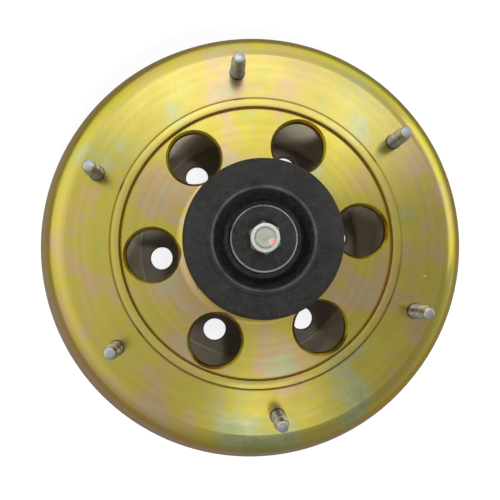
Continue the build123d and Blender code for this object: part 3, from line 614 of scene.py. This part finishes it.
# the threads are darker toward the flange, and the point is brighter
rise = math_node(tree, "MULTIPLY", math_node(tree, "SUBTRACT", z, flange_z), 31.0)
stud_rise_tone = ramp(tree, rise, [
    (0.0, (0.30, 0.28, 0.24)),
    (0.12, (0.52, 0.52, 0.50)),
    (0.7, (0.60, 0.61, 0.60)),
    (0.8, (0.78, 0.79, 0.80)),
])
smear = ramp(tree, dirt.outputs["Smear"], [(0.0, WHITE), (1.0, (0.62, 0.62, 0.60))])
tree.links.new(blend(tree, "MULTIPLY", 0.6, stud_rise_tone, smear), shader.inputs["Base Color"])
roughen(tree, shader, dirt.outputs["Smear"], 0.25, 0.2)
studs = piece("fan_studs_threaded", points, faces, 50, plate)
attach(studs, "fan_drum")
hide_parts("fan_studs")


# Friction lining: six pressed segments of fibre and brass, bonded round the hub's drum.
# The disc's cone grips them when the spring pushes it back.
lining, tree, shader = surface("pressed friction lining", 0.85, 0.0)
skin = placed(tree, cast_skin, Grain_Size=1400.0, Stain_Size=500.0)
tone = ramp(tree, skin.outputs["Stain"], [
    (0.35, (0.07, 0.055, 0.04)),
    (0.55, (0.16, 0.13, 0.10)),
    (0.72, (0.34, 0.27, 0.16)),
])
tree.links.new(tone, shader.inputs["Base Color"])
bump(tree, shader, skin.outputs["Height"], 0.0001, 0.8)
dress("friction_lining", lining)


# Engagement spring: flat wire coiled and ground at the ends, dark and oiled.
# It presses the sleeve back, so the disc grips the drum when there is no air,
# and it shortens toward the cap when air lifts the sleeve; here the coil stays at its rest length.
COIL_R = 0.0255
WIRE_WIDTH = 0.0065
WIRE_HEIGHT = 0.005
FREE_TURNS = 2.5
COIL_SIDES = 48
spring_low, spring_high = (corner.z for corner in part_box("engagement_spring"))
pitch = (spring_high - spring_low - WIRE_HEIGHT) / FREE_TURNS
start = spring_low - WIRE_HEIGHT / 2 + 0.0004
steps = round((spring_low + spring_high - 2 * start) / pitch * COIL_SIDES)
points, faces = [], []
for step in range(steps + 1):
    angle = 2 * math.pi * step / COIL_SIDES
    middle = start + pitch * step / COIL_SIDES
    for side, rise in ((-1, -1), (1, -1), (1, 1), (-1, 1)):
        radius = COIL_R + side * WIRE_WIDTH / 2
        # the end coils are ground flat
        height = min(spring_high, max(spring_low, middle + rise * WIRE_HEIGHT / 2))
        points.append((radius * math.cos(angle), radius * math.sin(angle), height))
for step in range(steps):
    for corner in range(4):
        a, b = 4 * step + corner, 4 * step + (corner + 1) % 4
        faces.append((a, a + 4, b + 4, b))
faces += [(0, 1, 2, 3), (4 * steps + 3, 4 * steps + 2, 4 * steps + 1, 4 * steps)]
oiled, tree, shader = surface("oiled spring steel", 0.32, 1.0)
dirt = placed(tree, handling, Smear_Size=150.0)
smeared(tree, shader, dirt.outputs["Smear"], (0.16, 0.17, 0.20), (0.33, 0.31, 0.28))
coil = piece("engagement_spring_coil", points, faces, 32, oiled)
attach(coil, "drive")
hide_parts("engagement_spring")
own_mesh(coil)


# Spring cap: a black painted casting over the spring, clamped by the centre nut.
# Its recess runs down like a bowl to a groove round an inner disc, and its edges carry a painted
# highlight over paint rubbed through to bare metal.
painted, tree, shader = surface("black paint on a casting", 0.42, 0.0)
shader.inputs["Specular IOR Level"].default_value = 0.4
skin = placed(tree, cast_skin, Grain_Size=900.0, Stain_Size=60.0)
marks = placed(tree, turning, Rings_per_Metre=900.0)
dirt = placed(tree, handling, Smear_Size=55.0, Dust=0.2)
place = own_place(tree)
tone = ramp(tree, dirt.outputs["Smear"], [(0.0, (0.002, 0.002, 0.002)), (1.0, (0.009, 0.009, 0.008))])
mottle = fade(tree, noise(tree, place, 240.0, 5.0, 0.7), [(0.42, 0.0), (0.70, 1.0)])
tone = blend(tree, "MIX", math_node(tree, "MULTIPLY", mottle, 0.5), tone, (0.022, 0.021, 0.019))
tone = blend(tree, "MIX", dirt.outputs["Dust"], tone, (0.028, 0.027, 0.024))
# a painted highlight over bare metal rubbed through lies on the rim of the inner disc and, thinner, on the
# recess's mouth
x, y, z, radius = round_axis(tree, place)
high = math_node(tree, "GREATER_THAN", z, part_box("spring_cap")[1].z - 0.0032)
rim = fade(tree, math_node(tree, "MULTIPLY", radius, 20.0), [
    (0.394, 0.0),
    (0.404, 1.0),
    (0.420, 1.0),
    (0.430, 0.0),
    (0.612, 0.0),
    (0.624, 0.16),
    (0.640, 0.16),
    (0.655, 0.0),
])
wear = math_node(tree, "ADD", dirt.outputs["Smear"], 0.2)
rubbed_and_glint = math_node(tree, "MULTIPLY", math_node(tree, "MULTIPLY", rim, high), wear, True)
tone = blend(tree, "MIX", rubbed_and_glint, tone, (0.34, 0.34, 0.33))
tree.links.new(tone, shader.inputs["Base Color"])
tree.links.new(math_node(tree, "MULTIPLY", rubbed_and_glint, 0.6), shader.inputs["Metallic"])
roughen(tree, shader, skin.outputs["Stain"], 0.2, 0.22)
relief = scaled(tree, marks.outputs["Rings"], 0.4, skin.outputs["Height"])
relief = scaled(tree, noise(tree, place, 170.0, 3.0, 0.5), 3.0, relief)
bump(tree, shader, relief, 0.0004, 1.0)

NUT_BORE = 6.03
CAP_R = 49.8
SKIRT_BORE = 45.3
INNER_DISC_R = 20.8
INNER_DISC_BORE = 16.3
cap_low, cap_high = (corner.z * 1000 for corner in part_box("spring_cap"))
raised_rim = cap_high + 0.8
groove_floor = cap_high - 11.0
cap_line = outline([
    (SKIRT_BORE, cap_low, 0),
    (CAP_R, cap_low, 0),
    (CAP_R, cap_high, 3.0),
    (35.5, cap_high, 0),
    (34.7, raised_rim, 0.8),
    (31.9, raised_rim, 1.2),
    (27.6, cap_high - 5.4, 4.0),
    (24.6, groove_floor, 1.6),
    (INNER_DISC_R, groove_floor, 1.2),
    (INNER_DISC_R, cap_high - 1.0, 1.0),
    (NUT_BORE, cap_high - 1.0, 0),
    (NUT_BORE, cap_high - 6.5, 0),
    (INNER_DISC_BORE, cap_high - 6.5, 0),
    (INNER_DISC_BORE, cap_high - 15.5, 0),
    (32.0, cap_high - 15.5, 0),
    (37.65, cap_high - 4.5, 0),
    (SKIRT_BORE, cap_high - 4.5, 0),
])
cap = turned("spring_cap_stepped", lambda angle: cap_line, 192, painted)
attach(cap, "drive")
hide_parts("spring_cap")


# Centre nut: an 18 mm zinc plated lock nut with a round collar in front of its hexagon.
# It is screwed down on the cap, and the red dab runs over its face.
NUT_FLATS = 9.0
NUT_COLLAR = 8.9
HEXAGON_HEIGHT = 7.0
nut_low, nut_high = (corner.z * 1000 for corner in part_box("spindle_nut"))


def nut_section(angle):
    """The nut's outline at an angle: the hexagon's reach changes, and the rest is round."""
    reach = NUT_FLATS / math.cos(angle % math.radians(60) - math.radians(30))
    shoulder = nut_low + HEXAGON_HEIGHT
    return outline([
        (NUT_BORE, nut_low, 0),
        (reach, nut_low, 0),
        (reach, shoulder - (reach - NUT_COLLAR) * math.tan(math.radians(30)), 0),
        (NUT_COLLAR, shoulder, 0),
        (NUT_COLLAR, nut_high, 0.8),
        (6.9, nut_high, 0),
        (NUT_BORE, nut_high - 0.9, 0),
    ])


nut = turned("centre_lock_nut", nut_section, 96, bright)
nut.data.transform(Matrix.Rotation(math.radians(30), 4, "Z"))
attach(nut, "drive")
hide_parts("spindle_nut")


# Floor: a plain pale sheet under the clutch, with a soft shadow.
# To the camera it is nearly white, and in the plating's reflections it is darker.
def flat_shader(tree, kind, setting, value):
    """A plain shader node with one of its values set, and its output."""
    node = tree.nodes.new(kind)
    node.inputs[setting].default_value = value
    return node.outputs[0]


def either(tree, mask, otherwise, when):
    """A Mix Shader node that gives one shader where the mask is set and another elsewhere."""
    node = tree.nodes.new("ShaderNodeMixShader")
    for socket, value in zip(node.inputs, (mask, otherwise, when)):
        tree.links.new(value, socket)
    return node.outputs[0]


FLOOR = 4.0
FLOOR_Z = -0.0003
corners = [(east * FLOOR, north * FLOOR, FLOOR_Z) for east, north in ((-1, -1), (1, -1), (1, 1), (-1, 1))]
sheet = bpy.data.meshes.new("floor")
sheet.from_pydata(corners, [], [(0, 1, 2, 3)])
floor = bpy.data.objects.new("floor", sheet)
bpy.context.scene.collection.objects.link(floor)
pale = bpy.data.materials.new("pale floor")
pale.use_nodes = True
tree = pale.node_tree
tree.nodes.clear()
mirrored = flat_shader(tree, "ShaderNodeBsdfDiffuse", "Color", (0.16, 0.14, 0.12, 1.0))
lighting = flat_shader(tree, "ShaderNodeEmission", "Strength", 0.9)
seen = tree.nodes.new("ShaderNodeAddShader")
tree.links.new(flat_shader(tree, "ShaderNodeEmission", "Strength", 0.86), seen.inputs[0])
tree.links.new(flat_shader(tree, "ShaderNodeBsdfDiffuse", "Color", (0.14, 0.14, 0.14, 1.0)), seen.inputs[1])
path = tree.nodes.new("ShaderNodeLightPath").outputs
bounced = either(tree, path["Is Diffuse Ray"], mirrored, lighting)
choice = either(tree, path["Is Camera Ray"], bounced, seen.outputs[0])
tree.links.new(choice, tree.nodes.new("ShaderNodeOutputMaterial").inputs["Surface"])
floor.data.materials.append(pale)


# Light: a pale room, a wide soft box above the top edge of the picture, a narrow one below
# it and one at the right. Two small fills reach the black paint and the cup's walls, and
# the glossy film doesn't mirror them.
world = bpy.data.worlds.new("pale room")
bpy.context.scene.world = world
world.use_nodes = True
tree = world.node_tree
tree.nodes.clear()
split = tree.nodes.new("ShaderNodeSeparateXYZ")
tree.links.new(tree.nodes.new("ShaderNodeTexCoord").outputs["Generated"], split.inputs[0])
east, north, up = split.outputs
overhead = math_node(tree, "POWER", math_node(tree, "ABSOLUTE", up), 2.0)
eastward = math_node(tree, "MULTIPLY", math_node(tree, "MULTIPLY", east, overhead), -0.7)
slope = scaled(tree, north, 0.45, eastward)
slope = math_node(tree, "SUBTRACT", slope, math_node(tree, "MULTIPLY", up, 0.35))
shade = ramp(tree, math_node(tree, "ADD", slope, 0.85), [
    (0.0, (0.12, 0.12, 0.125)),
    (0.5, (0.36, 0.36, 0.36)),
    (1.0, (0.85, 0.85, 0.85)),
])
room = tree.nodes.new("ShaderNodeBackground")
tree.links.new(shade, room.inputs["Color"])
white = flat_shader(tree, "ShaderNodeBackground", "Color", (0.93, 0.93, 0.93, 1.0))
path = tree.nodes.new("ShaderNodeLightPath").outputs
choice = either(tree, path["Is Camera Ray"], room.outputs[0], white)
tree.links.new(choice, tree.nodes.new("ShaderNodeOutputWorld").inputs["Surface"])


def soft_box(title, direction, distance, width, height, watts):
    """An area light that faces the middle of the disc from a direction."""
    lamp = bpy.data.lights.new(title, "AREA")
    lamp.shape = "RECTANGLE"
    lamp.size = width
    lamp.size_y = height
    lamp.energy = watts
    box = bpy.data.objects.new(title, lamp)
    way = Vector(direction).normalized()
    turn = way.to_track_quat("Z", "Y").to_matrix().to_4x4()
    box.matrix_world = Matrix.Translation(way * distance + Vector((0, 0, 0.1))) @ turn
    box.visible_camera = False
    bpy.context.scene.collection.objects.link(box)
    return box


soft_box("box above", (0.11, 0.35, 1.0), 1.6, 1.0, 0.42, 1.15)
soft_box("box below", (0.07, -0.30, 1.0), 1.6, 0.36, 0.24, 0.24)
soft_box("box right", (1.0, 0.2, 0.55), 1.5, 1.0, 0.7, 1.5)
for fill in (
    soft_box("fill overhead", (0.13, 0.09, 1.0), 1.6, 0.12, 0.12, 9.0),
    soft_box("fill low", (0.06, -0.5, 1.0), 1.6, 0.3, 0.3, 34.0),
):
    fill.visible_glossy = False


# Camera: nearly straight over the disc, at the photograph's angle and distance.
# The picture is taken as it is, without a film curve.
camera_data = bpy.data.cameras.new("camera")
camera_data.sensor_width = 36.0
camera_data.lens = 46.67
camera = bpy.data.objects.new("camera", camera_data)
photo_turn = Matrix.Rotation(math.radians(-6.61), 4, "Z")
stand = Matrix.Translation((-0.0326, -0.0213, 0.5481))
tilt = Matrix.Rotation(0.0363, 4, "X") @ Matrix.Rotation(-0.0608, 4, "Y")
camera.matrix_world = photo_turn @ stand @ tilt
bpy.context.scene.collection.objects.link(camera)
bpy.context.scene.camera = camera
bpy.context.scene.view_settings.view_transform = "Standard"
